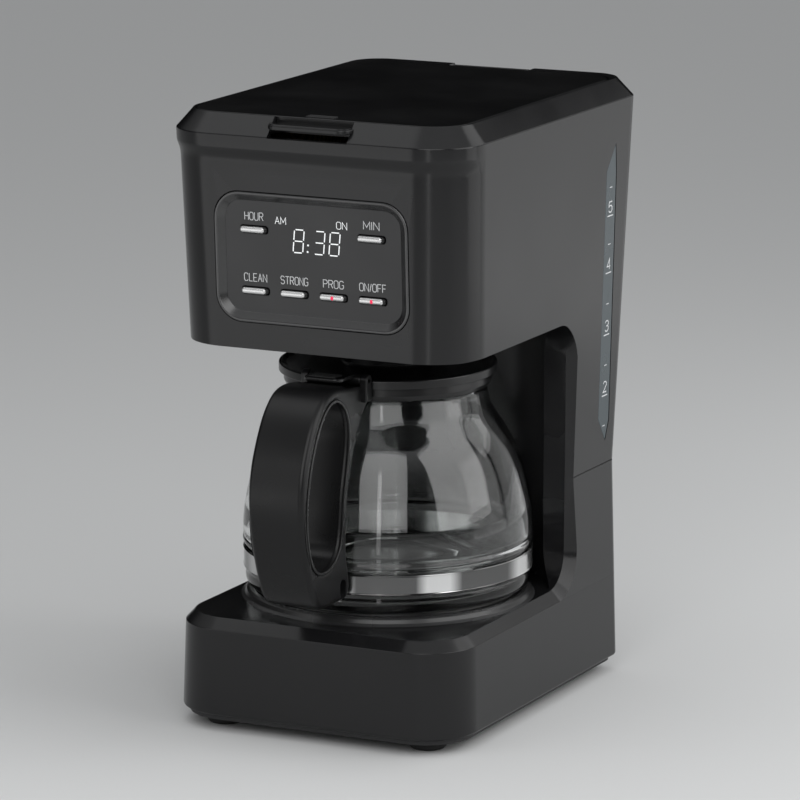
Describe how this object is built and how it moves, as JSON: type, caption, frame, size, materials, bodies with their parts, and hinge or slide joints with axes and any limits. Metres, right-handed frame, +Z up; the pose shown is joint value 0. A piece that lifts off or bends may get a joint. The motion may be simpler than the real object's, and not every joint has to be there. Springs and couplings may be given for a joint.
{
  "type": "drip coffee maker",
  "caption": "Compact black drip coffee maker: C-shaped body, glass carafe with banded handle, sloped control panel, rear-hinged lid and level window.",
  "frame": {"origin": "on the bench, under the centre of the whole machine's bounding box, carafe handle included", "axes": "+Z up; the control panel and the carafe handle face -Y; +X is the side with the water level window"},
  "size_m": [0.14, 0.217, 0.265],
  "materials": {
    "body_black": "satin moulded black",
    "trim_black": "fine-grained black",
    "panel_black": "satin black",
    "window_slate": "dark translucent grey",
    "display_black": "polished black lens",
    "key_silver": "silver-painted",
    "lamp_red": "clear red",
    "rubber_black": "matte",
    "plate_enamel": "non-stick coating",
    "steel": "plain",
    "band_steel": "polished",
    "cast_alloy": "as cast",
    "ceramic_white": "glazed",
    "silicone": "translucent milky",
    "valve_white": "plain",
    "tank_smoke": "smoky translucent",
    "filter_mesh": "fine amber mesh",
    "seal_red": "matte",
    "board_green": "solder-masked",
    "glass": "clear"
  },
  "bodies": {
    "machine": {"upper_housing": "body_black", "base_housing": "body_black", "bottom_cover": "trim_black", "cover_screws": "steel", "feet": "rubber_black", "cord_gland": "rubber_black", "warming_plate": "plate_enamel", "plate_ring": "trim_black", "heating_element": "cast_alloy", "element_bracket": "steel", "bracket_screws": "steel", "thermostat": "ceramic_white", "thermal_fuses": "ceramic_white", "cold_water_hose": "silicone", "hot_water_hose": "silicone", "hose_clamps": "steel", "check_valve_body": "valve_white", "riser_tube": "cast_alloy", "water_tank": "tank_smoke", "level_window": "window_slate", "water_spout": "trim_black", "water_spreader": "trim_black", "brew_well": "trim_black", "brew_basket": "trim_black", "mesh_filter": "filter_mesh", "top_deck": "trim_black", "drip_stop_spring": "steel", "panel_bezel": "panel_black", "control_panel": "panel_black", "display_window": "display_black", "display_module": "trim_black", "control_board": "board_green", "tact_switches": "valve_white", "board_screws": "steel", "lid_pin": "steel"},
    "lid": {"top_lid": "body_black"},
    "carafe": {"carafe_glass": "glass", "carafe_band": "band_steel", "carafe_collar": "trim_black", "carafe_lid": "trim_black", "carafe_lid_pin": "steel", "carafe_handle": "trim_black", "band_screw": "steel"},
    "drip_stop": {"drip_stop_plunger": "trim_black", "drip_stop_seal": "seal_red"},
    "valve_ball": {"check_valve_ball": "steel"},
    "hour_key": {"button_hour": "key_silver"},
    "minute_key": {"button_minute": "key_silver"},
    "clean_key": {"button_clean": "key_silver"},
    "strong_key": {"button_strong": "key_silver"},
    "program_key": {"button_program": "key_silver", "program_lamp": "lamp_red"},
    "power_key": {"button_power": "key_silver", "power_lamp": "lamp_red"}
  },
  "joints": [
    {"name": "lid_hinge", "type": "hinge", "parent": "machine", "child": "lid", "pos_m": [0, 0.1015, 0.2625], "axis": [-1, 0, 0], "range_deg": [0, 100]},
    {"name": "carafe_slide", "type": "slide", "parent": "machine", "child": "carafe", "axis": [0, -1, 0], "range_m": [0, 0.2]},
    {"name": "drip_stop_lift", "type": "slide", "parent": "machine", "child": "drip_stop", "axis": [0, 0, 1], "range_m": [0, 0.004], "stiffness_N_per_m": 150, "deforming": ["drip_stop_spring"]},
    {"name": "check_valve_lift", "type": "slide", "parent": "machine", "child": "valve_ball", "axis": [0, 0, 1], "range_m": [0, 0.0017]},
    {"name": "hour_press", "type": "slide", "parent": "machine", "child": "hour_key", "axis": [0, 0.9988, 0.0499], "range_m": [0, 0.0008], "stiffness_N_per_m": 600},
    {"name": "minute_press", "type": "slide", "parent": "machine", "child": "minute_key", "axis": [0, 0.9988, 0.0499], "range_m": [0, 0.0008], "stiffness_N_per_m": 600},
    {"name": "clean_press", "type": "slide", "parent": "machine", "child": "clean_key", "axis": [0, 0.9988, 0.0499], "range_m": [0, 0.0008], "stiffness_N_per_m": 600},
    {"name": "strong_press", "type": "slide", "parent": "machine", "child": "strong_key", "axis": [0, 0.9988, 0.0499], "range_m": [0, 0.0008], "stiffness_N_per_m": 600},
    {"name": "program_press", "type": "slide", "parent": "machine", "child": "program_key", "axis": [0, 0.9988, 0.0499], "range_m": [0, 0.0008], "stiffness_N_per_m": 600},
    {"name": "power_press", "type": "slide", "parent": "machine", "child": "power_key", "axis": [0, 0.9988, 0.0499], "range_m": [0, 0.0008], "stiffness_N_per_m": 600}
  ]
}
